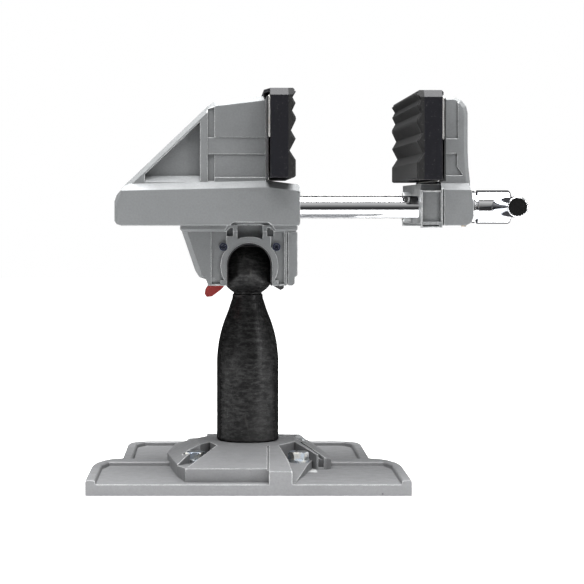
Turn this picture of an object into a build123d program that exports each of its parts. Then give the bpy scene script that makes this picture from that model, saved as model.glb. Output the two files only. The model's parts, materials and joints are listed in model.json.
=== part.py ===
from build123d import *
from math import cos, radians, sin, sqrt
import os

# Ball-joint bench vise: a die-cast base plate, a column ending in a ball, a socketed head
# that carries the fixed jaw, and a moving jaw on two guide rods drawn by a lead screw.
# Millimetres, +Z up, origin in the middle of the base underside (the column stands COL_X off it),
# +X from the fixed jaw to the moving jaw, -Y the long side the socket opening faces.

# ---------------------------------------------------------------- base plate
BASE_HALF = 85.3
REAR_HALF = 70.0
PAN_FLOOR_Z = 6.1
RIM_TOP_Z = 8.4
PLATEAU_Z = 19.5
HUB_NEAR_Z = 13.4
HUB_SIDE_Z = 12.0
POCKET_Z = 10.7
BOLT_X = 28.4
BOLT_Y = 29.0
BOLT_AF = 10.0
BOLT_R = 3.0
WASHER_R = 6.0
WASHER_T = 1.6
FOOT_HALF = 38.0
FOOT_Z0 = 1.5
FOOT_Z1 = 5.5
HUB_MID_X = 44.6
HUB_TOP_X = 27.0
HUB_TOP_Y = 26.4
HUB_END_Y = 78.0

# ---------------------------------------------------------------- column and ball
COL_X = 0.8
COL_R = 17.4
BALL_R = 15.75
BALL_Z = 116.3
NECK_R = 8.5
NECK_TOP_R = 7.9
CAVITY_R = 17.0

# ---------------------------------------------------------------- head
SCREW_Z = 150.8
BODY_X0 = -71.7
BODY_X1 = 28.3
BODY_Z0 = 140.8
FLANGE_Z = 137.2
BODY_HALF_Y = 54.0
JAW_HALF_Y = 50.0
JAW_X1 = 9.8
HOUSE_HALF_Y = 22.0
KEY_X = 1.45
KEY_Z = 118.2
KEY_R = 12.6
BODY_STUDS = [(-28.0, -15.0), (-28.0, 15.0)]
LEVER_X = -18.6
LEVER_Z = 110.6
LINER_T = 0.7
SOCKET_SCREW_X = (-13.0, 16.5)
SOCKET_SCREW_Z = 128.7
CLAMP_SCREW_Y = (-13.0, 13.0)
CLAMP_SCREW_Z = 124.0
ROD_R = 6.0
ROD_Y = 42.0
ROD_X0 = -1.0
SCREW_R = 6.5

# ---------------------------------------------------------------- jaws, pads, handle
SHEET_T = 0.8
PLATE_T = 1.0
PLATE_TOP = 209.8
HOOK_Z = 210.2
HOOK_REACH = 2.9
PAD_T = 13.6
PAD_HALF_Y = 75.0
PAD_TOP = 213.8
PAD_FOOT = 166.5
OPENING = 63.6
MOVE_DROP = 1.2
FIX_PLATE_X = JAW_X1 + SHEET_T + PLATE_T
MOVE_PLATE_X = FIX_PLATE_X + PAD_T + OPENING + PAD_T
MOVE_CAST_X = MOVE_PLATE_X + PLATE_T + SHEET_T
BOSS_R = 9.45
BOSS_X0 = 130.2
BOSS_X1 = 148.9
BAR_R = 5.55
BAR_X = 143.2
BAR_HALF = 67.0
PLUG_R = 4.9
PLATE_SCREW_Y = (-24.0, 24.0)
PLATE_SCREW_Z = (172.0, 196.0)
PLATE_SCREW_R = 2.1
PLATE_FOOT = 165.6
MOVE_CAST_X0 = 93.2
SET_SCREW_X = 108.0


def prism_z(points, z0, z1):
    face = make_face(Polyline(*[(x, y, z0) for x, y in points], close=True))
    return extrude(face, amount=z1 - z0, dir=(0, 0, 1))


def prism_y(points, y0, y1):
    face = make_face(Polyline(*[(x, y0, z) for x, z in points], close=True))
    return extrude(face, amount=y1 - y0, dir=(0, 1, 0))


def prism_x(points, x0, x1):
    face = make_face(Polyline(*[(x0, y, z) for y, z in points], close=True))
    return extrude(face, amount=x1 - x0, dir=(1, 0, 0))


def block(x0, x1, y0, y1, z0, z1):
    return Pos((x0 + x1) / 2, (y0 + y1) / 2, (z0 + z1) / 2) * Box(x1 - x0, y1 - y0, z1 - z0)


def rod_z(x, y, r, z0, z1):
    return Pos(x, y, (z0 + z1) / 2) * Cylinder(r, z1 - z0)


def rod_x(y, z, r, x0, x1):
    return Pos((x0 + x1) / 2, y, z) * Rot(0, 90, 0) * Cylinder(r, x1 - x0)


def rod_y(x, z, r, y0, y1):
    return Pos(x, (y0 + y1) / 2, z) * Rot(90, 0, 0) * Cylinder(r, y1 - y0)


def tube_z(x, y, r, bore, z0, z1):
    return rod_z(x, y, r, z0, z1) - rod_z(x, y, bore, z0 - 1, z1 + 1)


def tube_x(y, z, r, bore, x0, x1):
    return rod_x(y, z, r, x0, x1) - rod_x(y, z, bore, x0 - 1, x1 + 1)


def edges_at(shape, test):
    return [e for e in shape.edges() if test(e.center(), e.length)]


def half_turn(shape):
    return Rot(0, 0, 180) * shape


# ================================================================ stand
def base_outline():
    right = [
        (BASE_HALF, -85.4),
        (BASE_HALF, -26.0),
        (83.6, -14.0),
        (80.0, -4.5),
        (76.0, 1.5),
        (REAR_HALF, 4.5),
        (REAR_HALF, 70.0),
        (68.6, 78.5),
        (63.0, 84.2),
        (58.0, 85.4),
    ]
    left = [(-x, y) for x, y in reversed(right)]
    return right + left


def hub_block():
    right = [(33.0, -HUB_END_Y), (37.7, -55.0), (HUB_MID_X, 0.0), (37.7, 55.0), (33.0, HUB_END_Y)]
    left = [(-x, y) for x, y in reversed(right)]
    hub = prism_z(right + left, 2.0, PLATEAU_Z)
    bulge = [(HUB_MID_X, 0.0), (47.2, -11.5), (46.7, -22.0), (43.4, -27.6)]
    hub += prism_z([(34.0, 0.0), *bulge, (34.0, -27.6)], 2.0, PLATEAU_Z)
    far = 100.0
    top = PLATEAU_Z + 1.0
    for side in (-1, 1):
        near = side * HUB_TOP_Y
        edge = side * HUB_TOP_X
        wedge_y = [(near, PLATEAU_Z), (side * far, near_slope_z(far)), (side * far, top), (near, top)]
        wedge_x = [(edge, PLATEAU_Z), (side * far, side_slope_z(far)), (side * far, top), (edge, top)]
        hub -= prism_x(wedge_y, -60.0, 60.0)
        hub -= prism_y(wedge_x, -90.0, 90.0)
    return hub


def near_slope_z(y):
    return PLATEAU_Z - (PLATEAU_Z - HUB_NEAR_Z) * (y - HUB_TOP_Y) / (HUB_END_Y - HUB_TOP_Y)


def side_slope_z(x):
    return PLATEAU_Z - (PLATEAU_Z - HUB_SIDE_Z) * (x - HUB_TOP_X) / (HUB_MID_X - HUB_TOP_X)


def closed_pocket():
    # Bolt well and the valley beside it, in the two corners that keep their outer wall.
    plan = [(-16.5, -HUB_TOP_Y), (-33.0, -HUB_END_Y), (-37.7, -55.0), (-29.5, -30.0), (-20.8, -12.0)]
    valley = prism_z(plan, 2.0, PLATEAU_Z + 1.0)
    ramp = [(0.0, 0.0), (-84.0, 0.0), (-84.0, 14.2), (-58.0, 12.2), (-36.0, POCKET_Z), (0.0, POCKET_Z)]
    valley -= prism_x(ramp, -60.0, 0.0)
    return valley + rod_z(-BOLT_X, -BOLT_Y, 7.0, POCKET_Z, PLATEAU_Z + 1.0)


def side_facet():
    # Waste above the flat that leans outward on the same two corners.
    corners = [(-60.0, -80.0), (-24.0, -80.0), (-24.0, 0.0), (-60.0, 0.0)]
    flat = [(x, y, PLATEAU_Z + 0.45 * (x + HUB_TOP_X) + 0.047 * (y + 9.0)) for x, y in corners]
    waste = extrude(make_face(Polyline(*flat, close=True)), amount=14.0, dir=(0, 0, 1))
    return waste & block(-60.0, -24.0, -80.0, 0.0, HUB_SIDE_Z - 0.2, 40.0)


def open_pocket():
    # The two corners whose outer wall is left out, with a ramp running down to the pan.
    near = -78.6
    inner = [(17.5, -HUB_TOP_Y), (21.5, -60.0), (22.3, near)]
    outer = [(60.0, near), (60.0, -27.0), (38.2, -27.0), (HUB_TOP_X, -9.0)]
    tool = prism_z(inner + outer, PAN_FLOOR_Z, PLATEAU_Z + 1.0)
    side = [(0.0, 0.0), (near, 0.0), (near, PAN_FLOOR_Z), (-38.0, POCKET_Z), (0.0, POCKET_Z)]
    ramp = prism_x(side, 10.0, 38.4)
    ramp &= prism_z([(10.0, 0.0), (36.9, 0.0), (36.9, -20.0), (24.8, near), (10.0, near)], 0.0, 20.0)
    return tool - ramp


def near_rib():
    profile = [(-20.0, 2.0), (-85.4, 2.0), (-85.4, 12.9), (-HUB_TOP_Y, PLATEAU_Z), (-20.0, PLATEAU_Z)]
    bar = prism_x(profile, 8.0, 26.0)
    left = [(12.1, -20.0), (12.1, -HUB_TOP_Y), (10.7, -85.4)]
    right = [(22.8, -85.4), (18.4, -HUB_TOP_Y), (18.4, -20.0)]
    return bar & prism_z(left + right, 0.0, 30.0)


def rib_line():
    # Fine groove that parts the rib from the near slope.
    slope = prism_x([(-27.4, 18.5), (-79.0, 12.4), (-79.0, 30.0), (-27.4, 30.0)], 0.0, 30.0)
    return slope & prism_z([(11.2, -27.4), (9.9, -79.0), (10.9, -79.0), (12.2, -27.4)], 0.0, 30.0)


def slope_groove():
    # Groove that runs down the side slope and turns down the short end face.
    depth = 2.2
    floor = [(x, side_slope_z(x) - depth) for x in (20.0, 50.0)]
    above = prism_y([*floor, (50.0, 30.0), (20.0, 30.0)], -60.0, 60.0)
    outer = [(31.4, 7.5), (42.4, -25.0), (42.4, -30.0)]
    inner = [(39.3, -30.0), (39.3, -25.0), (28.0, 6.5)]
    path = prism_z(outer + inner, 0.0, 40.0)
    return (path & above) + block(39.3, 42.4, -30.0, -23.6, PAN_FLOOR_Z + 0.9, 30.0)


def make_base_plate():
    plate = prism_z(base_outline(), 0.0, RIM_TOP_Z)
    front_pan = [(-79.8, -95.0), (79.8, -95.0), (79.8, -25.0), (76.5, -13.0), (-76.5, -13.0), (-79.8, -25.0)]
    rear_pan = [(-64.2, 3.6), (64.2, 3.6), (64.2, 70.0), (60.0, 79.2), (-60.0, 79.2), (-64.2, 70.0)]
    for pan in (front_pan, rear_pan):
        floor = make_face(Polyline(*[(x, y, PAN_FLOOR_Z) for x, y in pan], close=True))
        plate -= extrude(floor, amount=4.0, dir=(0, 0, 1), taper=-12)
    rim = edges_at(plate, lambda c, n: abs(c.Z - RIM_TOP_Z) < 0.01 and n > 3.0)
    plate = chamfer(rim, 0.6)
    plate += hub_block()
    plate += near_rib() + half_turn(near_rib())
    plate -= side_facet() + half_turn(side_facet())
    plate -= closed_pocket() + half_turn(closed_pocket())
    plate -= open_pocket() + half_turn(open_pocket())
    plate -= slope_groove()
    plate -= rib_line() + half_turn(rib_line())
    # hollow underside, the seat of the foot plate, bolt holes and the column bolt hole
    plate -= prism_z([(0.93 * x, 0.93 * y) for x, y in base_outline()], -1.0, 2.6)
    plate += prism_z([(-44, -60), (44, -60), (44, 60), (-44, 60)], 0.0, 3.0)
    seat = FOOT_HALF + 0.3
    plate -= block(-seat, seat, -seat, seat, -1.0, FOOT_Z1)
    for x in (-BOLT_X, BOLT_X):
        for y in (-BOLT_Y, BOLT_Y):
            plate -= rod_z(x, y, BOLT_R + 0.3, 0.0, 30.0)
    plate -= rod_z(COL_X, 0, 5.4, 0.0, 30.0)
    return plate


def make_foot_plate():
    plate = block(-FOOT_HALF, FOOT_HALF, -FOOT_HALF, FOOT_HALF, FOOT_Z0, FOOT_Z1)
    corners = edges_at(plate, lambda c, n: abs(n - (FOOT_Z1 - FOOT_Z0)) < 0.01)
    plate = chamfer(corners, 5.0)
    for x in (-BOLT_X, BOLT_X):
        for y in (-BOLT_Y, BOLT_Y):
            plate -= rod_z(x, y, BOLT_R, 0.0, 10.0)
    plate -= rod_z(COL_X, 0, 5.4, 0.0, 10.0)
    plate -= rod_z(COL_X, 0, 10.0, 0.0, FOOT_Z0 + 2.6)
    return plate


def make_base_mat():
    half = FOOT_HALF - 0.4
    mat = block(-half, half, -half, half, 0.0, FOOT_Z0)
    corners = edges_at(mat, lambda c, n: abs(n - FOOT_Z0) < 0.01)
    return fillet(corners, 4.0)


def make_base_bolt(x, y):
    head_z = POCKET_Z + WASHER_T
    hexagon = Pos(x, y, head_z) * RegularPolygon(BOLT_AF / 2, 6, major_radius=False)
    head = extrude(hexagon, amount=4.0)
    cone = Pos(x, y, head_z + 2.5) * Cone(BOLT_AF * 0.577 + 1.7, BOLT_AF * 0.577 - 1.2, 5.0)
    head = head & cone
    return head + rod_z(x, y, BOLT_R, FOOT_Z0 + 0.2, head_z + 0.5)


def make_base_washer(x, y):
    return tube_z(x, y, WASHER_R, BOLT_R + 0.2, POCKET_Z, POCKET_Z + WASHER_T)


def make_column():
    neck_end = BALL_Z - sqrt(BALL_R**2 - NECK_TOP_R**2)
    taper = [
        (COL_R, 64.0), (17.0, 70.0), (16.2, 75.7), (14.9, 81.3), (13.1, 87.0), (10.9, 92.6),
        (9.05, 98.2), (NECK_R, 101.0),
    ]
    chamfer_r = COL_R - 0.8
    chamfer_z = PLATEAU_Z + 0.8
    foot = Polyline((0, 0, PLATEAU_Z), (chamfer_r, 0, PLATEAU_Z), (COL_R, 0, chamfer_z), (COL_R, 0, 64.0))
    curve = Spline(*[(r, 0, z) for r, z in taper], tangents=[(0, 0, 1), (0, 0, 1)])
    shoulder = [(NECK_R, 101.0), (NECK_R, 101.4), (NECK_TOP_R, 102.0), (NECK_TOP_R, neck_end)]
    neck = Polyline(*[(r, 0, z) for r, z in shoulder])
    side = BALL_R * cos(radians(10.0))
    lift = BALL_R * sin(radians(10.0))
    ball = ThreePointArc((NECK_TOP_R, 0, neck_end), (side, 0, BALL_Z + lift), (0, 0, BALL_Z + BALL_R))
    axis = Line((0, 0, BALL_Z + BALL_R), (0, 0, PLATEAU_Z))
    body = revolve(make_face([foot, curve, neck, ball, axis]), axis=Axis.Z)
    return Pos(COL_X, 0, 0) * (body - rod_z(0, 0, 5.0, PLATEAU_Z - 1, 55.0))


def make_column_bolt():
    head = rod_z(0, 0, 9.2, FOOT_Z0 + 0.1, FOOT_Z0 + 2.6)
    drive = Pos(0, 0, FOOT_Z0) * RegularPolygon(3.0, 6, major_radius=False)
    bolt = head + rod_z(0, 0, 5.0, FOOT_Z0 + 2.4, 50.0) - extrude(drive, amount=1.8)
    return Pos(COL_X, 0, 0) * bolt


# ================================================================ ball-joint inner pieces
def shell_band(inner, outer, z0, z1):
    ball = Pos(COL_X, 0, BALL_Z) * (Sphere(outer) - Sphere(inner))
    return ball & block(-30, 30, -30, 30, BALL_Z + z0, BALL_Z + z1)


def make_swivel_shell():
    return shell_band(BALL_R + 0.05, BALL_R + 0.55, 12.1, 20.0)


def make_tilt_shell():
    return shell_band(BALL_R + 0.6, CAVITY_R - 0.08, 12.4, 20.0)


# ================================================================ head
def keyhole(radius, y0, y1, foot_z):
    arc = rod_y(KEY_X, KEY_Z, radius, y0, y1)
    slot = block(KEY_X - radius, KEY_X + radius, y0, y1, foot_z, KEY_Z)
    return arc + slot


def lip_step(y0, y1, z0):
    # Outline of the lower edge of the body where it steps up over the socket opening.
    left = [(-13.0, z0), (-10.7, BODY_Z0 - 0.6), (-7.3, BODY_Z0 + 1.8)]
    right = [(11.0, BODY_Z0 + 1.8), (14.4, BODY_Z0 - 0.6), (16.7, z0)]
    return prism_y(left + right, y0, y1)


def housing_block():
    profile = [
        (-36.9, BODY_Z0), (-36.9, 139.6), (-28.6, 115.4), (-26.4, 112.0),
        (-22.7, 110.6), (-21.4, 107.2), (22.3, 107.2), (22.3, BODY_Z0),
    ]
    housing = prism_y(profile, -HOUSE_HALF_Y, HOUSE_HALF_Y)
    slanted = edges_at(housing, lambda c, n: c.X < -30.0 and 20 < n < 40)
    return chamfer(slanted, 5.4, 2.8)


def housing_flange():
    # Seat of the body on the housing: a proud band with a sloped upper edge.
    band = block(-37.0, 28.1, -HOUSE_HALF_Y - 2.0, HOUSE_HALF_Y + 2.0, FLANGE_Z, BODY_Z0)
    foot = edges_at(band, lambda c, n: abs(c.Z - FLANGE_Z) < 0.01)
    return chamfer(foot, 1.2)


def housing_details(side):
    # Shallow panels, pockets above the opening and the raised rim round it, on one face.
    y_face = side * HOUSE_HALF_Y

    def cut(points, depth):
        y_a, y_b = sorted((y_face + side * 3.0, y_face - side * depth))
        return prism_y(points, y_a, y_b)

    top = FLANGE_Z
    low = 108.2
    panel = cut([(-19.6, low), (-19.6, top), (-11.4, top), (-11.4, low)], 1.4)
    panel += cut([(13.4, low), (13.4, top), (20.8, top), (20.8, low)], 1.4)
    panel -= rod_y(KEY_X, KEY_Z, 16.0, -30.0, 30.0)
    panel -= block(KEY_X - 16.0, KEY_X + 16.0, -30.0, 30.0, 100.0, KEY_Z - 8.0)
    window = cut([(-5.2, 133.0), (-5.2, BODY_Z0), (8.8, BODY_Z0), (8.8, 133.0)], 5.0)
    window -= rod_y(KEY_X, KEY_Z, 16.2, -30.0, 30.0)
    left = cut([(-11.2, 134.6), (-11.2, 137.6), (-9.0, 139.4), (-7.6, 139.4), (-7.6, 134.6)], 3.0)
    right = cut([(14.8, 134.6), (14.8, 137.6), (12.6, 139.4), (11.2, 139.4), (11.2, 134.6)], 3.0)
    return panel + window + left + right


def body_block():
    profile = [
        (BODY_X0, 143.4), (BODY_X0 + 1.2, 141.6), (BODY_X0 + 3.6, BODY_Z0), (BODY_X1 - 0.8, BODY_Z0),
        (BODY_X1, BODY_Z0 + 0.8), (BODY_X1, 162.8), (12.0, 165.0), (-64.0, 163.3), (-66.4, 162.3),
        (-70.6, 157.0), (BODY_X0, 153.8),
    ]
    body = prism_y(profile, -BODY_HALF_Y, BODY_HALF_Y)
    top = edges_at(body, lambda c, n: abs(abs(c.Y) - BODY_HALF_Y) < 0.01 and c.Z > 162.0 and n > 10)
    body = chamfer(top, 4.0, 3.6)
    left = edges_at(body, lambda c, n: abs(c.X - BODY_X0) < 0.6 and abs(abs(c.Y) - BODY_HALF_Y) < 0.01)
    body = fillet(left, 2.4)
    low = edges_at(body, lambda c, n: abs(c.Z - BODY_Z0) < 0.01 and abs(abs(c.Y) - BODY_HALF_Y) < 0.01)
    return chamfer(low, 0.6)


def jaw_block():
    profile = [
        (-66.6, 162.4), (-21.5, 205.3), (-18.1, 207.5), (JAW_X1, 210.8),
        (JAW_X1, 158.0), (-66.6, 158.0),
    ]
    jaw = prism_y(profile, -JAW_HALF_Y, JAW_HALF_Y)
    top = edges_at(jaw, lambda c, n: abs(abs(c.Y) - JAW_HALF_Y) < 0.01 and c.Z > 175.0 and c.X < JAW_X1 - 1)
    return chamfer(top, 2.4)


def jaw_recesses(side):
    y_face = side * JAW_HALF_Y

    def cut(points, depth):
        y_a, y_b = sorted((y_face + side * 1.0, y_face - side * depth))
        return prism_y(points, y_a, y_b)

    triangle = cut([(-25.6, 196.8), (-25.6, 167.6), (-55.4, 167.6), (-55.4, 168.5)], 5.0)
    sill = prism_x([(side * 46.6, 167.6), (side * 51.0, 163.2), (side * 51.0, 167.6)], -55.4, -25.6)
    groove = cut([(-21.5, 164.8), (-21.5, 179.4), (-17.9, 179.4), (-17.9, 164.8)], 1.5)
    groove += cut([(-21.5, 188.4), (-21.5, 203.6), (-17.9, 204.6), (-17.9, 188.4)], 1.2)
    band = cut([(-21.5, 179.4), (-21.5, 188.4), (JAW_X1 + 1, 188.4), (JAW_X1 + 1, 179.4)], 0.35)
    lower = cut([(-17.9, 166.9), (-17.9, 179.4), (JAW_X1 + 1, 179.4), (JAW_X1 + 1, 166.9)], 0.8)
    return triangle + sill + groove + band + lower


def body_bays():
    # Lightening pockets in the underside of the body, left of the housing and beside it.
    bays = block(-65.0, -44.0, 9.5, 31.0, 130.0, 157.0)
    bays += block(-36.0, -14.0, 25.5, 32.5, 130.0, 157.0)
    bays += block(-9.0, 19.0, 25.5, 32.5, 130.0, 150.0)
    return bays + mirror(bays, about=Plane.XZ)


def make_jaw_body():
    body = body_block() + jaw_block()
    for side in (-1, 1):
        body -= jaw_recesses(side)
        y0, y1 = sorted((side * (BODY_HALF_Y + 1.0), side * (HOUSE_HALF_Y - 1.0)))
        body -= lip_step(y0, y1, BODY_Z0 - 3.0)
    body -= body_bays()
    # bores: two guide rods, the lead screw with its entry for the moving jaw's boss, the nut pocket
    for side in (-1, 1):
        body -= rod_x(side * ROD_Y, SCREW_Z, 8.0, BODY_X0 + 4.0, 40.0)
    body -= rod_x(0, SCREW_Z, 7.4, BODY_X0 + 4.0, 40.0)
    body -= rod_x(0, SCREW_Z, 8.8, 21.8, 40.0)
    body -= block(2.0, 22.0, -10.0, 10.0, BODY_Z0 - 1.0, SCREW_Z + 11.0)
    for y, z in plate_screw_places():
        body -= rod_x(y, z, PLATE_SCREW_R, -2.0, JAW_X1 + 1.0)
    # groove that receives the hook lip of the pad
    half = JAW_HALF_Y + 1.0
    body -= block(JAW_X1 - 1.3, JAW_X1 + 0.1, -half, half, HOOK_Z - 0.2, PAD_TOP)
    for x, y in BODY_STUDS:
        body -= rod_z(x, y, 2.1, BODY_Z0 - 1.0, BODY_Z0 + 9.0)
    return body


def make_socket_housing():
    housing = housing_block() + housing_flange()
    for side in (-1, 1):
        housing -= housing_details(side)
        y0, y1 = sorted((side * (BODY_HALF_Y + 1.0), side * (HOUSE_HALF_Y + 0.2)))
        housing -= lip_step(y0, y1, FLANGE_Z - 1.0)
    housing -= Pos(COL_X, 0, BALL_Z) * Sphere(CAVITY_R)
    housing -= keyhole(KEY_R, -40.0, 40.0, 100.0)
    for x in SOCKET_SCREW_X:
        housing -= rod_y(x, SOCKET_SCREW_Z, 1.6, -30.0, -8.0)
        housing -= rod_y(x, SOCKET_SCREW_Z, 2.5, -HOUSE_HALF_Y - 3.0, -HOUSE_HALF_Y + 1.4)
    # slot of the lock lever and its pin, and the seat of the stop tip
    slot = [
        (-24.0, 100.0), (-24.0, 111.6), (-21.4, 113.6), (-16.2, 113.6), (-13.2, 109.0),
        (-12.0, 106.0), (-12.0, 100.0),
    ]
    housing -= prism_y(slot, -18.9, -8.6)
    housing -= rod_y(LEVER_X, LEVER_Z, 1.5, -19.8, -6.0)
    housing -= block(14.6, 20.8, -18.0, -11.0, 100.0, 110.0)
    for y in CLAMP_SCREW_Y:
        housing -= rod_x(y, CLAMP_SCREW_Z, 2.0, 17.6, 30.0)
    for x, y in BODY_STUDS:
        housing -= rod_z(x, y, 2.4, BODY_Z0 - 6.0, BODY_Z0 + 1.0)
    return housing


def make_body_stud(x, y):
    # Hidden stud that ties the housing up into the body.
    return rod_z(x, y, 2.1, BODY_Z0 - 5.8, BODY_Z0 + 8.8)


def make_socket_liner():
    proud = HOUSE_HALF_Y + 0.3
    liner = keyhole(KEY_R, -proud, proud, 107.2) - keyhole(KEY_R - LINER_T, -40.0, 40.0, 100.0)
    return liner - Pos(COL_X, 0, BALL_Z) * Sphere(CAVITY_R)


def make_clamp_block():
    profile = [
        (22.9, 109.4), (22.9, 137.0), (28.1, 137.0), (28.1, 113.0), (27.4, 112.4), (26.6, 112.0),
        (26.6, 108.4), (25.4, 107.2), (22.9, 107.2),
    ]
    clamp = prism_y(profile, -HOUSE_HALF_Y, HOUSE_HALF_Y)
    clamp -= block(22.0, 26.8, -9.0, 9.0, 106.0, 118.0)
    for y in CLAMP_SCREW_Y:
        clamp -= rod_x(y, CLAMP_SCREW_Z, 2.4, 20.0, 40.0)
        clamp -= rod_x(y, CLAMP_SCREW_Z, 3.6, 26.0, 40.0)
    return clamp


def make_clamp_gasket():
    pad = block(22.3, 22.9, -HOUSE_HALF_Y + 0.8, HOUSE_HALF_Y - 0.8, 112.0, 136.5)
    for y in CLAMP_SCREW_Y:
        pad -= rod_x(y, CLAMP_SCREW_Z, 2.4, 20.0, 40.0)
    return pad


def make_clamp_screw(y):
    head = rod_x(y, CLAMP_SCREW_Z, 3.4, 26.0, 27.9) - rod_x(y, CLAMP_SCREW_Z, 1.7, 26.85, 28.4)
    return head + rod_x(y, CLAMP_SCREW_Z, 2.0, 17.8, 26.0)


def make_socket_screw(x):
    # Six-lobed driver recess: a round centre and six small lobes round it.
    y_face = -HOUSE_HALF_Y + 1.4
    head = rod_y(x, SOCKET_SCREW_Z, 2.3, y_face - 1.5, y_face)
    head -= rod_y(x, SOCKET_SCREW_Z, 1.0, y_face - 2.0, y_face - 0.6)
    for turn in range(6):
        angle = radians(60.0 * turn)
        head -= rod_y(x + cos(angle), SOCKET_SCREW_Z + sin(angle), 0.35, y_face - 2.0, y_face - 0.6)
    return head + rod_y(x, SOCKET_SCREW_Z, 1.6, y_face - 0.2, y_face + 10.0)


def make_lock_lever():
    tail = [
        (-20.4, 110.0), (-17.0, 109.4), (-13.4, 107.2), (-12.7, 106.5), (-14.6, 104.6), (-17.0, 102.8),
        (-19.3, 101.1), (-22.2, 100.8), (-23.4, 102.6), (-23.0, 105.0), (-21.8, 106.8),
    ]
    lever = prism_y(tail, -18.5, -9.0)
    lever = fillet(edges_at(lever, lambda c, n: n > 9.0 and c.Z < 103.0), 0.5)
    lever += rod_y(LEVER_X, LEVER_Z, 2.2, -18.5, -9.0)
    return lever - rod_y(LEVER_X, LEVER_Z, 1.55, -30.0, 0.0)


def make_lever_pin():
    return rod_y(LEVER_X, LEVER_Z, 1.5, -19.6, -6.2)


def make_stop_tip():
    tip = [(14.6, 110.0), (14.6, 107.0), (18.8, 104.6), (20.6, 105.6), (20.8, 107.2), (20.8, 110.0)]
    return prism_y(tip, -18.0, -11.0)


# ================================================================ guide rods, screw and nut
def make_rod_bush(side):
    return tube_x(side * ROD_Y, SCREW_Z, 8.0, ROD_R + 0.05, 4.0, BODY_X1 - 0.6)


def make_guide_rod(side):
    rod = rod_x(side * ROD_Y, SCREW_Z, ROD_R, ROD_X0, 112.0)
    ends = edges_at(rod, lambda c, n: n > 20.0)
    return chamfer(ends, 0.8)


def make_screw_nut():
    nut = block(2.2, 21.7, -9.9, 9.9, BODY_Z0, SCREW_Z + 10.9)
    return nut - rod_x(0, SCREW_Z, SCREW_R + 0.05, 0.0, 30.0)


def make_lead_screw():
    shaft = rod_x(0, SCREW_Z, SCREW_R, -3.0, 92.0)
    grooves = 46
    pitch = 2.0
    for index in range(grooves):
        x = -2.0 + index * pitch
        if 2.0 < x < 24.0:
            continue
        shaft -= tube_x(0, SCREW_Z, SCREW_R + 1.0, SCREW_R - 0.7, x, x + pitch * 0.5)
    return shaft + rod_x(0, SCREW_Z, 5.0, 91.9, 136.4)


# ================================================================ jaw plates and pads
def pad_profile():
    # Face of the pad seen from its end: depth behind the gripping face at each height.
    return [
        (1.1, 213.4), (0.0, 211.7), (1.8, 208.7), (0.2, 205.6), (2.0, 201.7), (0.2, 198.5), (0.0, 197.4),
        (0.2, 196.3), (2.6, 191.2), (0.1, 186.8), (3.3, 180.6), (0.1, 175.6), (0.1, 167.2), (0.8, PAD_FOOT),
    ]


def pad_section(y, inset):
    ribs = [(PAD_T - depth - inset, y, z) for depth, z in pad_profile()]
    back = [(0.0, y, PAD_FOOT), (0.0, y, PAD_TOP), (PAD_T - 1.6 - inset, y, PAD_TOP)]
    return make_face(Polyline(*back, *ribs, close=True))


def make_pad():
    # Ribs run the full length and are cut back a little at both ends.
    run = PAD_HALF_Y - 1.2
    pad = extrude(pad_section(-run, 0.0), amount=2 * run, dir=(0, 1, 0))
    for side in (-1, 1):
        pad += loft([pad_section(side * run, 0.0), pad_section(side * PAD_HALF_Y, 1.1)], ruled=True)
        end = side * PAD_HALF_Y
        bevel = [(end, 210.0), (end - side * 3.2, PAD_TOP), (end, PAD_TOP + 0.5)]
        pad -= prism_x(bevel, -1.0, PAD_T + 1.0)
    # hook lip over the jaw plate, tapered in plan towards its ends
    lip = [(0.0, -70.0), (-HOOK_REACH, -54.0), (-HOOK_REACH, 54.0), (0.0, 70.0)]
    pad += prism_z([(0.5, -70.0), *lip, (0.5, 70.0)], PAD_TOP - 1.6, PAD_TOP)
    pad += block(-HOOK_REACH, -PLATE_T - SHEET_T - 0.1, -JAW_HALF_Y, JAW_HALF_Y, HOOK_Z, PAD_TOP)
    # groove of the top edge
    slot = [(PAD_T + 0.4, 212.6), (PAD_T - 0.9, 212.6), (PAD_T - 0.9, 212.1), (PAD_T + 0.4, 212.1)]
    return pad - prism_y(slot, -PAD_HALF_Y - 1, PAD_HALF_Y + 1)


def make_fixed_pad():
    return Pos(FIX_PLATE_X, 0, 0) * make_pad()


def make_moving_pad():
    return flip_to_moving(make_pad())


def flip_to_moving(shape):
    # The moving jaw uses the same plate and pad, turned to face the fixed jaw.
    return Pos(MOVE_PLATE_X, 0, -MOVE_DROP) * Rot(0, 0, 180) * shape


def plate_screw_places():
    return [(y, z) for z in PLATE_SCREW_Z for y in PLATE_SCREW_Y]


def plate_screw_clearance():
    holes = [rod_x(y, z, 3.4, -5.0, 5.0) for y, z in plate_screw_places()]
    return holes[0] + holes[1:]


def plate_body():
    # Steel plate behind a pad, wider in its upper half, with four screw holes.
    plate = block(-PLATE_T, 0.0, -JAW_HALF_Y, JAW_HALF_Y, PLATE_FOOT, PLATE_TOP)
    plate += block(-PLATE_T, 0.0, -74.0, 74.0, 187.8, PLATE_TOP)
    return plate - plate_screw_clearance()


def make_sheet():
    # Black backing sheet between a casting and its jaw plate.
    half = PAD_HALF_Y - 0.5
    sheet = block(-PLATE_T - SHEET_T, -PLATE_T, -half, half, PLATE_FOOT - 0.1, PLATE_TOP - 0.4)
    return sheet - plate_screw_clearance()


def plate_screw(y, z, length):
    head = rod_x(y, z, 3.2, -PLATE_T - SHEET_T, -0.2)
    recess = block(-1.0, 0.0, y - 2.2, y + 2.2, z - 0.4, z + 0.4)
    recess += block(-1.0, 0.0, y - 0.4, y + 0.4, z - 2.2, z + 2.2)
    return head - recess + rod_x(y, z, PLATE_SCREW_R, -length, -PLATE_T - SHEET_T + 0.1)


def make_fixed_plate():
    return Pos(FIX_PLATE_X, 0, 0) * plate_body()


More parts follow.
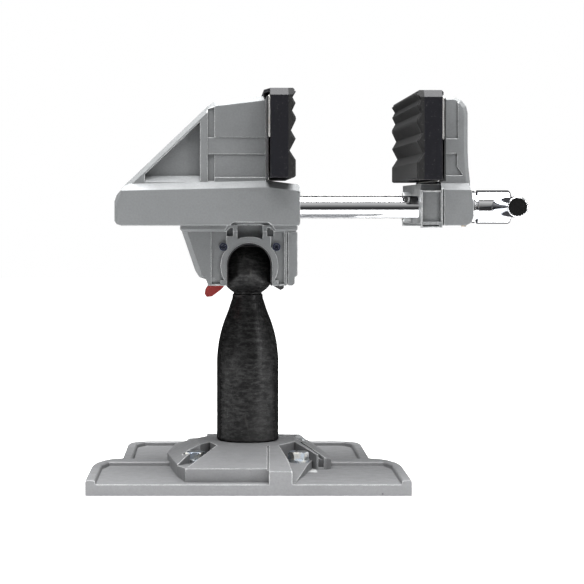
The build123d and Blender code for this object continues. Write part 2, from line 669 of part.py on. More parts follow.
def make_fixed_plate_screw(y, z):
    return Pos(FIX_PLATE_X, 0, 0) * plate_screw(y, z, 13.0)


def make_moving_plate():
    return flip_to_moving(plate_body())


def make_moving_plate_screw(y, z):
    return flip_to_moving(plate_screw(y, z, 12.0))


# ================================================================ moving jaw
def jaw_upright():
    x0 = MOVE_CAST_X
    upper = [
        (x0, 158.0), (x0, 210.0), (111.6, 210.2), (115.4, 208.6), (118.2, 205.2),
        (119.0, 201.6), (119.0, 181.0), (119.4, 172.4), (120.2, 165.0), (120.2, 158.0),
    ]
    upright = prism_y(upper, -JAW_HALF_Y, JAW_HALF_Y)
    ends = edges_at(upright, lambda c, n: abs(abs(c.Y) - JAW_HALF_Y) < 0.01)
    rim = [e for e in ends if e.center().Z > 181.5 and e.center().X > x0 + 0.2]
    return chamfer(rim, 2.2)


def jaw_foot():
    x0 = MOVE_CAST_X
    lower = [
        (x0, BODY_Z0), (x0, 163.6), (119.2, 163.6), (120.6, 158.6), (121.6, 153.0),
        (121.6, 145.4), (120.4, 142.4), (117.4, BODY_Z0),
    ]
    foot = prism_y(lower, -BODY_HALF_Y, BODY_HALF_Y)
    top = edges_at(foot, lambda c, n: abs(abs(c.Y) - BODY_HALF_Y) < 0.01 and abs(c.Z - 163.6) < 0.2)
    foot = chamfer(top, 3.6, 3.6)
    foot += block(MOVE_CAST_X0, x0 + 0.5, -BODY_HALF_Y, BODY_HALF_Y, BODY_Z0 + 0.8, 159.8)
    foot += block(MOVE_CAST_X0, x0 + 0.5, -JAW_HALF_Y, JAW_HALF_Y, 159.0, 163.2)
    for side in (-1, 1):
        y_a, y_b = sorted((side * BODY_HALF_Y, side * (BODY_HALF_Y - 3.0)))
        foot += block(MOVE_CAST_X0, x0 + 0.5, y_a, y_b, BODY_Z0 - 1.2, BODY_Z0 + 1.0)
    return foot


def jaw_panels(side):
    # Shallow recesses, the seam between foot and upright, and the slot, on one end face.
    def cut(points, half, depth):
        y_a, y_b = sorted((side * (half + 1.0), side * (half - depth)))
        return prism_y(points, y_a, y_b)

    upper = cut([(106.2, 187.7), (106.2, 212.0), (113.4, 212.0), (113.4, 187.7)], JAW_HALF_Y, 0.8)
    corners = [(106.5, 167.9), (106.5, 179.7), (112.9, 179.7), (112.9, 172.6), (116.2, 167.9)]
    lower = cut(corners, JAW_HALF_Y, 0.8)
    window = cut([(94.1, 142.8), (94.1, 158.9), (103.8, 158.9), (103.8, 142.8)], BODY_HALF_Y, 1.6)
    slot = cut([(94.1, 140.2), (94.1, 141.4), (102.9, 141.4), (102.9, 140.2)], BODY_HALF_Y, 1.6)
    seam = cut([(104.9, 139.0), (104.9, 160.4), (105.6, 160.4), (105.6, 139.0)], BODY_HALF_Y, 1.2)
    return upper + lower + window + slot + seam


def make_moving_jaw():
    jaw = jaw_upright() + jaw_foot()
    jaw += rod_x(0, SCREW_Z, 8.4, 88.3, 94.0)
    for side in (-1, 1):
        jaw -= jaw_panels(side)
        # lightening pocket behind the jaw plate, guide rod bore and its set screw hole
        for y in (12.0, 36.0):
            jaw -= block(MOVE_CAST_X + 3.2, 115.0, side * y - 8.0, side * y + 8.0, 167.0, 203.0)
        jaw -= rod_x(side * ROD_Y, SCREW_Z, ROD_R, 90.0, 112.0)
        jaw -= rod_z(SET_SCREW_X, side * ROD_Y, 2.1, 130.0, SCREW_Z)
    jaw -= rod_x(0, SCREW_Z, 7.6, 80.0, 130.0)
    for y, z in plate_screw_places():
        jaw -= rod_x(y, z - MOVE_DROP, PLATE_SCREW_R, MOVE_CAST_X - 1.0, MOVE_CAST_X + 10.4)
    hook_z = HOOK_Z - MOVE_DROP - 0.2
    half = JAW_HALF_Y + 1.0
    return jaw - block(MOVE_CAST_X - 0.1, MOVE_CAST_X + 1.3, -half, half, hook_z, PAD_TOP)


def make_screw_bush():
    flange = tube_x(0, SCREW_Z, 11.0, 5.06, 121.6, 124.0)
    return flange + tube_x(0, SCREW_Z, 7.6, 5.06, 108.0, 122.0)


def make_rod_set_screw(side):
    screw = rod_z(SET_SCREW_X, side * ROD_Y, 2.1, BODY_Z0 + 0.3, SCREW_Z - ROD_R)
    return screw - rod_z(SET_SCREW_X, side * ROD_Y, 1.1, BODY_Z0, BODY_Z0 + 2.4)


def make_retaining_ring():
    return tube_x(0, SCREW_Z, 6.9, 5.0, 106.0, 107.6)


def make_thrust_washer():
    return tube_x(0, SCREW_Z, 9.9, 5.0, 124.1, 126.0)


def make_screw_boss():
    body = rod_x(0, SCREW_Z, BOSS_R, BOSS_X0, BOSS_X1)
    body = fillet(edges_at(body, lambda c, n: n > 40.0 and c.X > BOSS_X1 - 0.1), 1.6)
    body += rod_x(0, SCREW_Z, 7.4, 128.6, BOSS_X0 + 0.1)
    body += rod_x(0, SCREW_Z, 9.0, 126.0, 128.7)
    body -= rod_x(0, SCREW_Z, 5.0, 120.0, 136.4)
    return body - rod_y(BAR_X, SCREW_Z, BAR_R + 0.08, -20.0, 20.0)


def make_t_bar():
    bar = rod_y(BAR_X, SCREW_Z, BAR_R, -BAR_HALF, BAR_HALF)
    bar = fillet(edges_at(bar, lambda c, n: n > 20.0), 0.5)
    for side in (-1, 1):
        y_a, y_b = sorted((side * (BAR_HALF + 1.0), side * (BAR_HALF - 6.0)))
        bar -= rod_y(BAR_X, SCREW_Z, PLUG_R, y_a, y_b)
    return bar


def make_bar_plug(side):
    y_a, y_b = sorted((side * (BAR_HALF - 0.3), side * (BAR_HALF - 6.0)))
    return rod_y(BAR_X, SCREW_Z, PLUG_R, y_a, y_b)


def save(name, shape):
    solid = shape.solid() if hasattr(shape, "solid") and len(shape.solids()) == 1 else shape
    solid.label = name
    export_step(solid, "parts/" + name + ".step")


os.makedirs("parts", exist_ok=True)

save("base_plate", make_base_plate())
save("foot_plate", make_foot_plate())
save("base_mat", make_base_mat())
save("column", make_column())
save("column_bolt", make_column_bolt())
corner = {"near_left": (-1, -1), "near_right": (1, -1), "far_left": (-1, 1), "far_right": (1, 1)}
for name, (sx, sy) in corner.items():
    save("base_bolt_" + name, make_base_bolt(sx * BOLT_X, sy * BOLT_Y))
    save("base_washer_" + name, make_base_washer(sx * BOLT_X, sy * BOLT_Y))
save("swivel_shell", make_swivel_shell())
save("tilt_shell", make_tilt_shell())
save("jaw_body", make_jaw_body())
save("socket_housing", make_socket_housing())
for edge, (x, y) in zip(("near", "far"), BODY_STUDS):
    save("body_stud_" + edge, make_body_stud(x, y))
save("socket_liner", make_socket_liner())
save("clamp_block", make_clamp_block())
save("clamp_gasket", make_clamp_gasket())
for edge, y in zip(("near", "far"), CLAMP_SCREW_Y):
    save("clamp_screw_" + edge, make_clamp_screw(y))
for edge, x in zip(("left", "right"), SOCKET_SCREW_X):
    save("socket_screw_" + edge, make_socket_screw(x))
save("lock_lever", make_lock_lever())
save("lever_pin", make_lever_pin())
save("stop_tip", make_stop_tip())
save("rod_bush_near", make_rod_bush(-1))
save("rod_bush_far", make_rod_bush(1))
save("guide_rod_near", make_guide_rod(-1))
save("guide_rod_far", make_guide_rod(1))
save("rod_set_screw_near", make_rod_set_screw(-1))
save("rod_set_screw_far", make_rod_set_screw(1))
save("screw_nut", make_screw_nut())
save("lead_screw", make_lead_screw())
save("screw_bush", make_screw_bush())
save("retaining_ring", make_retaining_ring())
save("thrust_washer", make_thrust_washer())
save("screw_boss", make_screw_boss())
save("t_bar", make_t_bar())
save("bar_plug_near", make_bar_plug(-1))
save("bar_plug_far", make_bar_plug(1))
save("fixed_jaw_plate", make_fixed_plate())
save("fixed_jaw_sheet", Pos(FIX_PLATE_X, 0, 0) * make_sheet())
save("fixed_jaw_pad", make_fixed_pad())
save("moving_jaw", make_moving_jaw())
save("moving_jaw_plate", make_moving_plate())
save("moving_jaw_sheet", flip_to_moving(make_sheet()))
save("moving_jaw_pad", make_moving_pad())
for level, z in zip(("low", "high"), PLATE_SCREW_Z):
    for edge, y in zip(("near", "far"), PLATE_SCREW_Y):
        save("fixed_plate_screw_" + edge + "_" + level, make_fixed_plate_screw(y, z))
        save("moving_plate_screw_" + edge + "_" + level, make_moving_plate_screw(-y, z))
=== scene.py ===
import bpy
import json
from math import radians
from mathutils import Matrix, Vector


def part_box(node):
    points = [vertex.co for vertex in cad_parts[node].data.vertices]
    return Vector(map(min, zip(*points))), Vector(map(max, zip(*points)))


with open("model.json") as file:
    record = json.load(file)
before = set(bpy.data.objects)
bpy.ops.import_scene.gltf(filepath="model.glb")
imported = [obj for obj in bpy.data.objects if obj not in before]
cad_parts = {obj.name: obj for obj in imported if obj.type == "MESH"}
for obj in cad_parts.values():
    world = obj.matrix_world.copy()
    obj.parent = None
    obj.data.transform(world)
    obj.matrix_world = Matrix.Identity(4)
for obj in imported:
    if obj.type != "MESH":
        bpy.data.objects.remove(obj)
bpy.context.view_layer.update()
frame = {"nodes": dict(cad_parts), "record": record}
nodes = frame["nodes"]
scene = bpy.context.scene

MM = 0.001
BLACK = (0.0, 0.0, 0.0)
WHITE = (1.0, 1.0, 1.0, 1.0)

# camera: level, in front of the vise and looking along +Y, on a 36 mm sensor
CAMERA_PLACE = (-0.0155, -1.099, 0.1508)
SENSOR_MM = 36.0
LENS_MM = 119.89726
SHIFT_X = 0.12534246
SHIFT_Y = -0.14554794

# area lights: name, place, aim, width and height in metres, watts
LIGHTS = (
    ("top", (0.0, -0.06, 0.95), (0.0, 0.0, 0.15), 1.25, 0.95, 47.0),
    ("strip_right", (1.01, -0.82, 0.30), (0.0, 0.0, 0.10), 0.10, 0.9, 6.5),
    ("strip_left", (-0.80, -1.02, 0.30), (0.0, 0.0, 0.10), 0.12, 0.9, 1.6),
)
WORLD_STRENGTH = 0.31

# floor: it glows more with distance, so that it stays white up to its edge
FLOOR_HALF = 3.0
GLOW_REACH = (0.15, 0.90)
GLOW_RANGE = (0.58, 1.0)

# reflector cards, all in metres: an upright one and a flat one in front of the vise and behind it
CARD_HALF = 1.1
CARD_LIFT = 0.006
SHADE_HEIGHTS = (0.02, 1.10)
FRONT_Y, FRONT_TOP, FRONT_EDGE = -1.35, 1.25, -0.28
BACK_Y, BACK_TOP, BACK_EDGE = 1.30, 1.60, 0.12
WALL_HALF = 6.0
WALL_Y = 4.0


def scaled(tone, factor):
    return tuple(factor * c for c in tone)


# ---------------------------------------------------------------- node graph helper
class Graph:
    """A Principled material and short names for the nodes that colour it."""

    def __init__(self, name):
        self.material = bpy.data.materials.new(name)
        self.material.use_nodes = True
        self.tree = self.material.node_tree
        self.shader = self.tree.nodes["Principled BSDF"]
        self.coords = self.node("ShaderNodeTexCoord").outputs["Object"]

    def node(self, kind, **settings):
        made = self.tree.nodes.new(kind)
        for key, value in settings.items():
            setattr(made, key, value)
        return made

    def feed(self, socket, value):
        """Links an output to the socket, or sets the socket's own value."""
        if isinstance(value, bpy.types.NodeSocket):
            self.tree.links.new(value, socket)
        elif isinstance(value, tuple) and len(value) == 3 and socket.type == "RGBA":
            socket.default_value = (*value, 1.0)
        else:
            socket.default_value = value

    def stretched(self, scale):
        mapping = self.node("ShaderNodeMapping")
        self.feed(mapping.inputs["Vector"], self.coords)
        mapping.inputs["Scale"].default_value = scale
        return mapping.outputs["Vector"]

    def noise(self, per_metre, detail=2.0, rough=0.5, stretch=None, distort=0.0):
        made = self.node("ShaderNodeTexNoise")
        self.feed(made.inputs["Vector"], self.stretched(stretch) if stretch else self.coords)
        made.inputs["Scale"].default_value = per_metre
        made.inputs["Detail"].default_value = detail
        made.inputs["Roughness"].default_value = rough
        made.inputs["Distortion"].default_value = distort
        return made.outputs["Fac"]

    def cells(self, per_metre):
        made = self.node("ShaderNodeTexVoronoi")
        self.feed(made.inputs["Vector"], self.coords)
        made.inputs["Scale"].default_value = per_metre
        return made.outputs["Distance"]

    def spread(self, value, low, high, out_low=0.0, out_high=1.0):
        """Maps low..high to out_low..out_high, held at both ends."""
        made = self.node("ShaderNodeMapRange")
        self.feed(made.inputs["Value"], value)
        made.inputs["From Min"].default_value = low
        made.inputs["From Max"].default_value = high
        made.inputs["To Min"].default_value = out_low
        made.inputs["To Max"].default_value = out_high
        return made.outputs["Result"]

    def math(self, operation, a, b=0.0):
        made = self.node("ShaderNodeMath", operation=operation)
        self.feed(made.inputs[0], a)
        self.feed(made.inputs[1], b)
        return made.outputs[0]

    def mix(self, share, a, b):
        made = self.node("ShaderNodeMix", data_type="RGBA")
        self.feed(made.inputs["Factor"], share)
        self.feed(made.inputs["A"], a)
        self.feed(made.inputs["B"], b)
        return made.outputs["Result"]

    def axis(self, name):
        made = self.node("ShaderNodeSeparateXYZ")
        self.feed(made.inputs[0], self.coords)
        return made.outputs[name]

    def bump(self, height, distance, strength, normal=None):
        made = self.node("ShaderNodeBump")
        made.inputs["Strength"].default_value = strength
        made.inputs["Distance"].default_value = distance
        self.feed(made.inputs["Height"], height)
        if normal is not None:
            self.feed(made.inputs["Normal"], normal)
        return made.outputs["Normal"]

    def rounded(self, radius):
        made = self.node("ShaderNodeBevel", samples=6)
        made.inputs["Radius"].default_value = radius
        return made.outputs["Normal"]

    def closeness(self, distance, inside):
        """0 on open surface, rising to 1 in a corner, or on an outer edge when inside is set."""
        made = self.node("ShaderNodeAmbientOcclusion", samples=8, inside=inside, only_local=True)
        made.inputs["Distance"].default_value = distance
        return self.math("SUBTRACT", 1.0, made.outputs["AO"])

    def corners(self, color, reach, low, high, share, tint):
        """Painted shade: tint in the corners, up to a share of it, where closeness goes from low to
        high.
        """
        return self.mix(self.spread(self.closeness(reach, False), low, high, 0.0, share), color, tint)

    def edges(self, color, reach, low, high, share, tint):
        """The same on the outer edges, where the paler tint is partly rubbed wear and partly painted
        highlight.
        """
        return self.mix(self.spread(self.closeness(reach, True), low, high, 0.0, share), color, tint)

    def specks(self, color, per_metre, low, high, share, tint):
        """Fine spots of tint, fewer for a higher window."""
        fine = self.noise(per_metre, 2.0, 0.7)
        return self.mix(self.spread(fine, low, high, 0.0, share), color, tint)

    def finish(self, color, rough, normal=None, metal=0.0, **constants):
        """Feeds the shader; constants are set on its own sockets."""
        self.feed(self.shader.inputs["Base Color"], color)
        self.feed(self.shader.inputs["Roughness"], rough)
        self.feed(self.shader.inputs["Metallic"], metal)
        if normal is not None:
            self.feed(self.shader.inputs["Normal"], normal)
        for key, value in constants.items():
            self.shader.inputs[key.replace("_", " ")].default_value = value
        return self.material


# ---------------------------------------------------------------- materials
def cast_paint(name, tone):
    """Silver-grey coat on a die casting: flake, mottle, small pits, pale edges that are partly rubbed
    paint and partly painted highlight, and painted shade in the corners.
    """
    g = Graph(name)
    light = scaled(tone, 1.22)
    dark = scaled(tone, 0.80)
    broad = g.spread(g.noise(22.0, 3.0, 0.6), 0.32, 0.70)
    color = g.mix(broad, scaled(tone, 0.94), scaled(tone, 1.05))
    smudge = g.spread(g.noise(75.0, 4.0, 0.65, distort=0.4), 0.52, 0.72, 0.0, 0.35)
    color = g.mix(smudge, color, dark)
    flake = g.spread(g.noise(2100.0, 1.0, 0.5), 0.36, 0.66)
    color = g.mix(g.math("MULTIPLY", flake, 0.34), color, light)
    color = g.specks(color, 1000.0, 0.40, 0.64, 0.42, dark)
    # painted shade: the paint darkened in corners and crevices
    color = g.corners(color, 2.2 * MM, 0.30, 0.90, 0.45, scaled(tone, 0.42))
    # pale outer edges: partly paint rubbed to bare metal, partly painted highlight
    edge = g.spread(g.closeness(0.95 * MM, True), 0.26, 0.52)
    broken = g.spread(g.noise(420.0, 3.0, 0.6), 0.36, 0.60, 0.45, 1.0)
    worn_and_highlight = g.math("MULTIPLY", edge, broken)
    color = g.mix(g.math("MULTIPLY", worn_and_highlight, 0.8), color, (0.66, 0.67, 0.67))
    pit = g.spread(g.cells(105.0), 0.035, 0.055, 1.0, 0.0)
    rare = g.spread(g.noise(30.0, 1.0), 0.60, 0.62)
    pits = g.math("MULTIPLY", pit, rare)
    color = g.mix(g.math("MULTIPLY", pits, 0.8), color, (0.02, 0.02, 0.022))
    rough = g.spread(g.noise(160.0, 3.0, 0.6), 0.3, 0.7, 0.50, 0.64)
    grain = g.math("ADD", g.noise(1500.0, 2.0, 0.6), g.math("MULTIPLY", g.noise(380.0, 2.0), 0.8))
    grain = g.math("SUBTRACT", grain, g.math("MULTIPLY", pits, 2.0))
    normal = g.bump(grain, 0.05 * MM, 0.7, g.rounded(0.55 * MM))
    return g.finish(color, rough, normal, metal=g.spread(flake, 0.0, 1.0, 0.20, 0.38))


def column_coat():
    """Satin black coat: turning marks, fine scratches across, and rubbed patches."""
    g = Graph("column_black")
    blotch = g.spread(g.noise(34.0, 4.0, 0.62, stretch=(1.0, 1.0, 0.45)), 0.44, 0.74)
    color = g.mix(blotch, (0.014, 0.014, 0.0143), (0.030, 0.030, 0.030))
    rings = g.noise(650.0, 2.0, 0.6, stretch=(0.03, 0.03, 1.0))
    color = g.mix(g.spread(rings, 0.60, 0.80, 0.0, 0.22), color, (0.060, 0.058, 0.056))
    dashes = g.noise(620.0, 3.0, 0.75, stretch=(0.35, 0.35, 1.0))
    color = g.mix(g.spread(dashes, 0.42, 0.68, 0.0, 0.75), color, (0.050, 0.050, 0.050))
    color = g.specks(color, 900.0, 0.60, 0.74, 0.6, (0.060, 0.060, 0.060))
    streaks = g.noise(190.0, 4.0, 0.7, stretch=(1.0, 1.0, 0.16), distort=0.6)
    scuff = g.spread(streaks, 0.60, 0.72, 0.0, 0.5)
    color = g.mix(scuff, color, (0.075, 0.073, 0.070))
    # paler outer edges: partly rubbed coat, partly painted highlight
    color = g.edges(color, 0.5 * MM, 0.30, 0.6, 0.7, (0.14, 0.14, 0.14))
    rough = g.math("ADD", g.spread(blotch, 0.0, 1.0, 0.36, 0.50), g.math("MULTIPLY", scuff, 0.2))
    height = g.math("ADD", g.math("MULTIPLY", dashes, 0.9), g.noise(1200.0, 2.0, 0.6))
    normal = g.bump(height, 0.06 * MM, 0.7, g.rounded(0.3 * MM))
    glancing = (0.10, 0.10, 0.10, 1.0)
    return g.finish(color, rough, normal, metal=0.75, Specular_IOR_Level=0.03, Specular_Tint=glancing)


def rib_depth(g):
    """Distance of a point behind its pad's gripping face, in metres, on either pad."""
    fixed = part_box("fixed_jaw_pad")
    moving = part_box("moving_jaw_pad")
    middle = 0.5 * (fixed[1].x + moving[0].x)
    half = 0.5 * (moving[0].x - fixed[1].x)
    offset = g.math("ABSOLUTE", g.math("SUBTRACT", g.axis("X"), middle))
    return g.math("SUBTRACT", offset, half)


def pad_rubber():
    """Moulded pad: smooth dark back, matt ribs with a fine hatch, dusty spots, and paler edges that
    are partly rubbed and partly painted highlight.
    """
    g = Graph("pad_rubber")
    depth = rib_depth(g)
    grip = g.spread(depth, 3.9 * MM, 4.1 * MM, 1.0, 0.0)
    smooth = g.mix(g.noise(60.0, 3.0, 0.6), (0.0060, 0.0060, 0.0080), (0.0085, 0.0085, 0.0110))
    matt = g.mix(g.noise(240.0, 4.0, 0.7), (0.0050, 0.0050, 0.0053), (0.015, 0.015, 0.0154))
    color = g.mix(grip, smooth, matt)
    color = g.specks(color, 900.0, 0.62, 0.76, 0.35, (0.085, 0.084, 0.082))
    # paler outer edges: partly rubbed, partly painted highlight
    color = g.edges(color, 0.5 * MM, 0.34, 0.66, 0.55, (0.10, 0.10, 0.10))
    rough = g.mix(grip, (0.40, 0.40, 0.40), (0.80, 0.80, 0.80))
    hatch = g.math("MULTIPLY", g.noise(1100.0, 1.0, 0.5, stretch=(1.0, 0.25, 1.0)), grip)
    pebble = g.math("MULTIPLY", g.noise(1700.0, 2.0, 0.6), 0.5)
    normal = g.bump(g.math("ADD", hatch, pebble), 0.05 * MM, 0.6, g.rounded(0.35 * MM))
    return g.finish(color, rough, normal, Specular_IOR_Level=0.21)


def plain_rubber():
    """Matt black moulding for the mat, sheets, liner, gasket, shells and stop."""
    g = Graph("liner_black")
    color = g.mix(g.noise(180.0, 4.0, 0.65), (0.009, 0.009, 0.010), (0.022, 0.022, 0.023))
    # painted highlight: a paler rim along the outer edges
    color = g.edges(color, 0.35 * MM, 0.30, 0.6, 0.6, (0.09, 0.09, 0.09))
    rough = g.spread(g.noise(300.0, 3.0), 0.3, 0.7, 0.42, 0.60)
    normal = g.bump(g.noise(1500.0, 2.0, 0.6), 0.03 * MM, 0.5, g.rounded(0.25 * MM))
    return g.finish(color, rough, normal)


def chrome():
    """Polished plating with faint wipe marks, a few hairline scratches and painted shade in the
    corners.
    """
    g = Graph("chrome")
    haze = g.noise(45.0, 4.0, 0.6, distort=0.5)
    color = g.mix(g.spread(haze, 0.4, 0.7), (0.90, 0.905, 0.915), (0.80, 0.81, 0.83))
    # painted shade: darker in the corners
    color = g.corners(color, 1.2 * MM, 0.25, 0.9, 0.6, (0.20, 0.20, 0.21))
    hair = g.spread(g.noise(700.0, 2.0, 0.5, stretch=(0.03, 1.0, 1.0)), 0.60, 0.75)
    rough = g.math("ADD", g.spread(haze, 0.35, 0.75, 0.035, 0.095), g.math("MULTIPLY", hair, 0.10))
    normal = g.bump(hair, 0.004 * MM, 0.4, g.rounded(0.3 * MM))
    return g.finish(color, rough, normal, metal=1.0, Specular_Tint=(0.45, 0.46, 0.49, 1.0))


def zinc():
    """Bright zinc plate on bolts and washers: blue and straw bloom, wrench marks."""
    g = Graph("zinc")
    bloom = g.spread(g.noise(210.0, 3.0, 0.6), 0.35, 0.68)
    color = g.mix(bloom, (0.40, 0.46, 0.54), (0.56, 0.54, 0.46))
    color = g.specks(color, 900.0, 0.58, 0.72, 0.6, (0.22, 0.23, 0.25))
    # painted shade: darker in the corners
    color = g.corners(color, 1.0 * MM, 0.25, 0.9, 0.75, (0.06, 0.06, 0.065))
    rough = g.spread(g.noise(500.0, 3.0, 0.6), 0.3, 0.7, 0.22, 0.42)
    normal = g.bump(g.noise(800.0, 2.0), 0.03 * MM, 0.5, g.rounded(0.35 * MM))
    return g.finish(color, rough, normal, metal=1.0)


def bare_steel():
    """Ground steel of the jaw plates, lead screw, ring and washer: grinding lines, light oil stain."""
    g = Graph("steel_plain")
    lines = g.noise(900.0, 3.0, 0.6, stretch=(1.0, 0.03, 1.0))
    color = g.mix(g.spread(lines, 0.35, 0.65), (0.80, 0.79, 0.76), (0.92, 0.91, 0.88))
    stain = g.spread(g.noise(90.0, 4.0, 0.65), 0.55, 0.75, 0.0, 0.5)
    color = g.mix(stain, color, (0.50, 0.44, 0.36))
    # painted shade: darker in the corners
    color = g.corners(color, 0.9 * MM, 0.45, 0.95, 0.6, (0.07, 0.065, 0.06))
    rough = g.spread(lines, 0.3, 0.7, 0.42, 0.58)
    normal = g.bump(lines, 0.012 * MM, 0.5, g.rounded(0.35 * MM))
    return g.finish(color, rough, normal, metal=0.75)


def bronze():
    """Machined bronze of the nut and bushes: turning lines and a brown bloom."""
    g = Graph("bronze")
    bloom = g.spread(g.noise(130.0, 4.0, 0.6), 0.38, 0.70)
    color = g.mix(bloom, (0.62, 0.42, 0.19), (0.40, 0.24, 0.11))
    lines = g.noise(1200.0, 2.0, 0.5, stretch=(1.0, 0.05, 0.05))
    rough = g.spread(lines, 0.3, 0.7, 0.22, 0.40)
    normal = g.bump(lines, 0.012 * MM, 0.5, g.rounded(0.2 * MM))
    return g.finish(color, rough, normal, metal=1.0)


def lever_red():
    """Red moulded lever: slight colour drift, moulding grain, and a paler edge, partly chafed and
    partly painted highlight.
    """
    g = Graph("lever_red")
    color = g.mix(g.noise(260.0, 3.0, 0.6), (0.150, 0.014, 0.013), (0.200, 0.024, 0.021))
    # paler outer edges: partly chafed, partly painted highlight
    color = g.edges(color, 0.6 * MM, 0.32, 0.66, 0.45, (0.36, 0.14, 0.13))
    color = g.specks(color, 1300.0, 0.60, 0.72, 0.3, (0.10, 0.015, 0.015))
    rough = g.spread(g.noise(420.0, 3.0), 0.3, 0.7, 0.34, 0.50)
    normal = g.bump(g.noise(1500.0, 2.0), 0.03 * MM, 0.5, g.rounded(0.4 * MM))
    return g.finish(color, rough, normal, Specular_IOR_Level=0.3)


def black_oxide():
    """Oiled black oxide on the socket screws; the rim is paler, partly rubbed bright and partly
    painted highlight, and the hexagon is painted shade, near black.
    """
    g = Graph("screw_black")
    color = g.mix(g.noise(600.0, 3.0, 0.6), (0.012, 0.014, 0.030), (0.030, 0.034, 0.060))
    # paler rim: partly rubbed, partly painted highlight
    color = g.edges(color, 0.4 * MM, 0.34, 0.6, 0.75, (0.45, 0.50, 0.56))
    # painted shade: near black inside the hexagon socket
    color = g.corners(color, 0.7 * MM, 0.2, 0.6, 1.0, (0.001, 0.001, 0.002))
    rough = g.spread(g.noise(900.0, 2.0), 0.3, 0.7, 0.24, 0.42)
    normal = g.bump(g.noise(1600.0, 2.0), 0.02 * MM, 0.5, g.rounded(0.15 * MM))
    return g.finish(color, rough, normal, metal=0.55)


def plug_black():
    """Soft black end plugs of the handle bar."""
    g = Graph("plug_black")
    color = g.mix(g.noise(500.0, 3.0, 0.6), (0.0015, 0.0015, 0.0015), (0.004, 0.004, 0.004))
    rough = g.spread(g.noise(700.0, 2.0), 0.3, 0.7, 0.55, 0.75)
    normal = g.bump(g.noise(1500.0, 2.0), 0.03 * MM, 0.5)
    return g.finish(color, rough, normal, Specular_IOR_Level=0.1)


def dress_nodes():
    """Gives each node the finish of its material slot; the base gets a darker copy of the grey paint,
    painted shade for a part that sits low under the head.
    """
    finishes = {
        "cast_grey": cast_paint("cast_grey", (0.156, 0.162, 0.165)),
        "column_black": column_coat(),
        "pad_rubber": pad_rubber(),
        "liner_black": plain_rubber(),
        "chrome": chrome(),
        "zinc": zinc(),
        "steel_plain": bare_steel(),
        "bronze": bronze(),
        "lever_red": lever_red(),
        "screw_black": black_oxide(),
        "plug_black": plug_black(),
    }
    # painted shade: the same grey paint a little darker for the base
    shaded_base_paint = cast_paint("cast_grey_base_shaded", (0.150, 0.152, 0.156))
    slot_of = {row["node"]: row["material_slot"] for row in frame["record"]["subparts"]}
    for name, obj in nodes.items():
        for holder in obj.material_slots:
            holder.material = shaded_base_paint if name == "base_plate" else finishes[slot_of[name]]


# ---------------------------------------------------------------- studio
def plane(name, corners, material, hidden_from=()):
    """A staged rectangle, hidden from the kinds of ray in the list."""
    mesh = bpy.data.meshes.new(name)
    mesh.from_pydata(corners, [], [(0, 1, 2, 3)])
    mesh.materials.append(material)
    obj = bpy.data.objects.new(name, mesh)
    scene.collection.objects.link(obj)
    for kind in hidden_from:
        setattr(obj, f"visible_{kind}", False)


def upright(half, y, low, high):
    return [(-half, y, low), (half, y, low), (half, y, high), (-half, y, high)]


def level(half, y_low, y_high, z):
    return [(-half, y_low, z), (half, y_low, z), (half, y_high, z), (-half, y_high, z)]


def glow_graph(name):
    """A surface that shines evenly and reflects nothing; its colour is fed afterwards."""
    g = Graph(name)
    g.finish(BLACK, 0.9, Emission_Strength=1.0, Specular_IOR_Level=0.0)
    return g


def make_floor():
    g = Graph("floor_white")
    color = g.mix(g.noise(1.5, 2.0), (0.78, 0.78, 0.78), (0.80, 0.80, 0.80))
    g.finish(color, 0.75, Emission_Color=WHITE)
    away = g.math("ADD", g.math("ABSOLUTE", g.axis("X")), g.math("ABSOLUTE", g.axis("Y")))
    g.feed(g.shader.inputs["Emission Strength"], g.spread(away, *GLOW_REACH, *GLOW_RANGE))
    plane("floor", level(FLOOR_HALF, -FLOOR_HALF, FLOOR_HALF, 0.0), g.material)


def make_front_cards():
    """Cards in front of the vise, dark at the floor and paler upwards, which the camera can't see."""
    g = glow_graph("flag_black")
    height = g.spread(g.axis("Z"), *SHADE_HEIGHTS)
    g.feed(g.shader.inputs["Emission Color"], g.mix(height, (0.035, 0.035, 0.037), (0.62, 0.62, 0.62)))
    hidden = ("camera", "shadow")
    plane("flag_upright", upright(CARD_HALF, FRONT_Y, 0.0, FRONT_TOP), g.material, hidden)
    plane("flag_flat", level(CARD_HALF, FRONT_Y, FRONT_EDGE, CARD_LIFT), g.material, hidden)


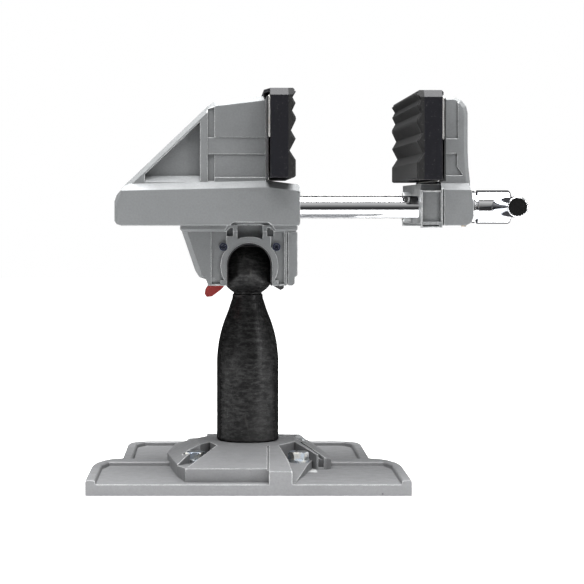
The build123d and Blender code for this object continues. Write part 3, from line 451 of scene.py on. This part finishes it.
def make_back_cards():
    """Dark cards behind the vise, which only polished surfaces reflect along their edges."""
    g = glow_graph("flag_back")
    color = g.mix(g.noise(3.0), (0.10, 0.10, 0.105), (0.14, 0.14, 0.145))
    g.feed(g.shader.inputs["Emission Color"], color)
    hidden = ("camera", "diffuse", "shadow")
    plane("flag_back_upright", upright(CARD_HALF, BACK_Y, 0.0, BACK_TOP), g.material, hidden)
    plane("flag_back_flat", level(CARD_HALF, BACK_EDGE, BACK_Y, CARD_LIFT), g.material, hidden)


def make_backdrop():
    """White wall far behind the vise that only the camera sees; there is none on the other sides."""
    g = glow_graph("backdrop_white")
    color = g.mix(g.noise(0.8, 1.0), (1.0, 1.0, 1.0), (0.998, 0.998, 1.0))
    g.feed(g.shader.inputs["Emission Color"], color)
    hidden = ("diffuse", "glossy", "transmission", "volume_scatter", "shadow")
    plane("backdrop", upright(WALL_HALF, WALL_Y, -WALL_HALF, WALL_HALF), g.material, hidden)


def soft_light(name, place, target, width, height, watts):
    data = bpy.data.lights.new(name, "AREA")
    data.shape = "RECTANGLE"
    data.size = width
    data.size_y = height
    data.energy = watts
    light = bpy.data.objects.new(name, data)
    light.location = place
    light.rotation_euler = (Vector(target) - Vector(place)).to_track_quat("-Z", "Y").to_euler()
    scene.collection.objects.link(light)


def make_world():
    world = bpy.data.worlds.new("studio")
    world.use_nodes = True
    background = world.node_tree.nodes["Background"]
    background.inputs["Color"].default_value = WHITE
    background.inputs["Strength"].default_value = WORLD_STRENGTH
    scene.world = world


def make_camera():
    data = bpy.data.cameras.new("camera")
    data.sensor_width = SENSOR_MM
    data.lens = LENS_MM
    data.shift_x = SHIFT_X
    data.shift_y = SHIFT_Y
    camera = bpy.data.objects.new("camera", data)
    camera.location = CAMERA_PLACE
    camera.rotation_euler = (radians(90.0), 0.0, 0.0)
    scene.collection.objects.link(camera)
    scene.camera = camera


make_camera()
make_world()
make_floor()
make_front_cards()
make_back_cards()
make_backdrop()
for light_row in LIGHTS:
    soft_light(*light_row)
scene.view_settings.view_transform = "Standard"
scene.cycles.use_denoising = True
dress_nodes()
